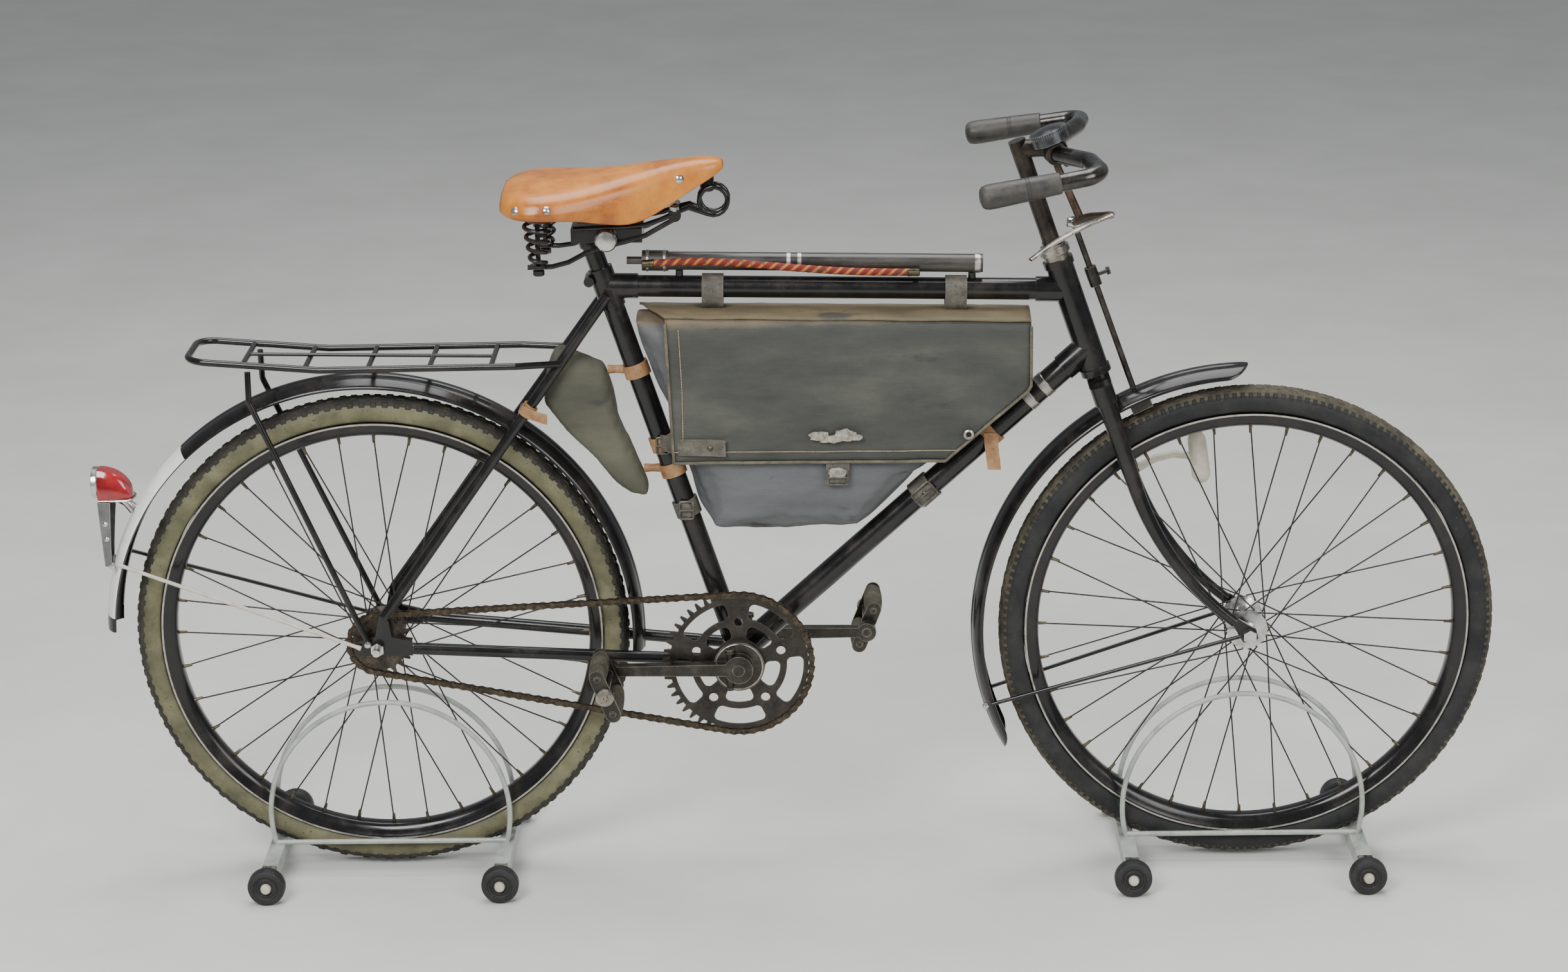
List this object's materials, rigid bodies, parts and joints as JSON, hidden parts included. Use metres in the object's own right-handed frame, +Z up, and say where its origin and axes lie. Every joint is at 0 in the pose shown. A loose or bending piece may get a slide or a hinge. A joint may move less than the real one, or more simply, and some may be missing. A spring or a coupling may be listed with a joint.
{
  "type": "military bicycle on rolling display stands",
  "caption": "Old army safety bicycle with steering, spinning wheels, crank and pedals, frame bag, rack, pump and sprung leather saddle, held upright by two rolling hoop stands.",
  "frame": {"origin": "on the floor, at the middle of the overall length and of the width", "axes": "+X forward, +Y to the bicycle's left, +Z up"},
  "size_m": [1.862, 0.4212, 1.0262],
  "materials": {
    "enamel": "gloss",
    "bright_steel": "satin",
    "chain_steel": "matte",
    "tyre_rubber": "matte",
    "rubber": "matte",
    "saddle_hide": "satin",
    "canvas": "matte",
    "strap_leather": "matte",
    "lamp_red": "gloss",
    "plate_paint": "matte"
  },
  "bodies": {
    "frame": {"bag_straps": "strap_leather", "bottom_bracket": "enamel", "chain": "chain_steel", "chain_stays": "enamel", "down_tube": "enamel", "dropouts": "enamel", "frame_bag_body": "canvas", "frame_bag_flap": "canvas", "head_tube": "enamel", "number_plate": "plate_paint", "pouch_straps": "strap_leather", "pump": "enamel", "pump_hose": "rubber", "pump_pegs": "enamel", "rack": "enamel", "rack_legs": "enamel", "rear_axle": "bright_steel", "rear_lamp": "lamp_red", "rear_mudguard": "enamel", "rear_mudguard_stays": "enamel", "rear_stand_casters": "rubber", "rear_stand_frame": "bright_steel", "saddle_clamp": "enamel", "saddle_frame": "enamel", "saddle_leather": "saddle_hide", "saddle_springs": "enamel", "seat_lug": "enamel", "seat_post": "bright_steel", "seat_stays": "enamel", "seat_tube": "enamel", "tool_pouch": "canvas", "top_tube": "enamel"},
    "fork": {"fork": "enamel", "headset": "bright_steel", "stem": "enamel", "handlebar": "bright_steel", "grips": "rubber", "bell": "enamel", "brake_lever": "bright_steel", "brake_rod": "bright_steel", "front_mudguard": "enamel", "front_mudguard_stays": "enamel", "dynamo": "bright_steel", "front_axle": "bright_steel", "front_stand_frame": "bright_steel", "front_stand_casters": "rubber"},
    "front_wheel": {"front_hub": "bright_steel", "front_spokes": "bright_steel", "front_rim": "enamel", "front_tyre": "tyre_rubber"},
    "rear_wheel": {"rear_hub": "bright_steel", "rear_spokes": "bright_steel", "rear_rim": "enamel", "rear_tyre": "tyre_rubber"},
    "sprocket": {"rear_sprocket": "bright_steel"},
    "crank": {"crank_axle": "bright_steel", "cranks": "enamel", "chainring": "enamel"},
    "pedal_right": {"pedal_right": "rubber"},
    "pedal_left": {"pedal_left": "rubber"}
  },
  "joints": [
    {"name": "steering", "type": "hinge", "parent": "frame", "child": "fork", "pos_m": [0.383, 0, 0.72835], "axis": [-0.3256, 0, 0.9455], "range_deg": [-60, 60]},
    {"name": "front_wheel_spin", "type": "hinge", "parent": "fork", "child": "front_wheel", "pos_m": [0.601, 0, 0.33635], "axis": [0, 1, 0], "continuous": true},
    {"name": "rear_wheel_spin", "type": "hinge", "parent": "frame", "child": "rear_wheel", "pos_m": [-0.555, 0, 0.33635], "axis": [0, 1, 0], "continuous": true},
    {"name": "crank_spin", "type": "hinge", "parent": "frame", "child": "crank", "pos_m": [-0.07688, 0, 0.30335], "axis": [0, 1, 0], "continuous": true},
    {"name": "sprocket_spin", "type": "hinge", "parent": "frame", "child": "sprocket", "pos_m": [-0.555, 0, 0.33635], "axis": [0, 1, 0], "continuous": true},
    {"name": "pedal_right_spin", "type": "hinge", "parent": "crank", "child": "pedal_right", "pos_m": [-0.24888, -0.07, 0.30335], "axis": [0, 1, 0], "continuous": true},
    {"name": "pedal_left_spin", "type": "hinge", "parent": "crank", "child": "pedal_left", "pos_m": [0.09512, 0.07, 0.30335], "axis": [0, 1, 0], "continuous": true}
  ],
  "couplings": [
    {"joint": "sprocket_spin", "follows": "crank_spin", "ratio": 2.4}
  ]
}
